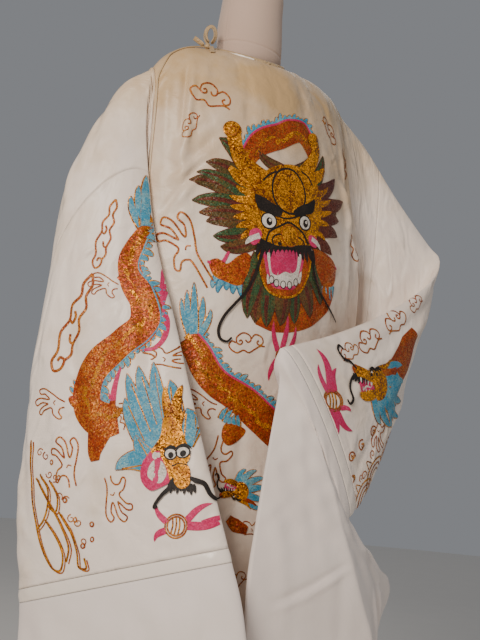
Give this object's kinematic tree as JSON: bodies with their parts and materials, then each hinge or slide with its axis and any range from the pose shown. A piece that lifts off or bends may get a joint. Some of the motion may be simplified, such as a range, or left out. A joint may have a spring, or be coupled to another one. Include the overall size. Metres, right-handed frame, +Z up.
{
  "type": "chinese dragon robe on a dress form",
  "caption": "Long satin robe with wide sleeves that end in long thin water sleeves, one hanging and one raised, shown open at neck and hem on a limbless dress form with a round base.",
  "frame": {"origin": "centre of the underside of the round base, on the floor", "axes": "+Z up, -Y the way the robe's front faces, +X towards the wearer's left"},
  "size_m": [0.7849, 0.5286, 1.636],
  "materials": {
    "robe_satin": "cream satin, softly shiny",
    "band_satin": "pale satin, softly shiny",
    "water_sleeve_cloth": "thin white silk, matte",
    "form_jersey": "beige jersey, matte",
    "pole_steel": "brushed",
    "base_paint": "satin black paint"
  },
  "bodies": {
    "root": {"front_panel": "robe_satin", "back_panel": "robe_satin", "sleeve_upper_right": "robe_satin", "sleeve_upper_left": "robe_satin", "sleeve_lower_right": "robe_satin", "sleeve_lower_left": "robe_satin", "sleeve_band_right": "band_satin", "sleeve_band_left": "band_satin", "water_sleeve_right": "water_sleeve_cloth", "water_sleeve_left": "water_sleeve_cloth", "neck_binding": "robe_satin", "flap_piping": "robe_satin", "tie_knot": "robe_satin", "tie_loop": "robe_satin", "tie_tail_short": "robe_satin", "tie_tail_long": "robe_satin", "form_torso": "form_jersey", "form_neck": "form_jersey", "form_pole": "pole_steel", "form_base": "base_paint"}
  },
  "joints": []
}
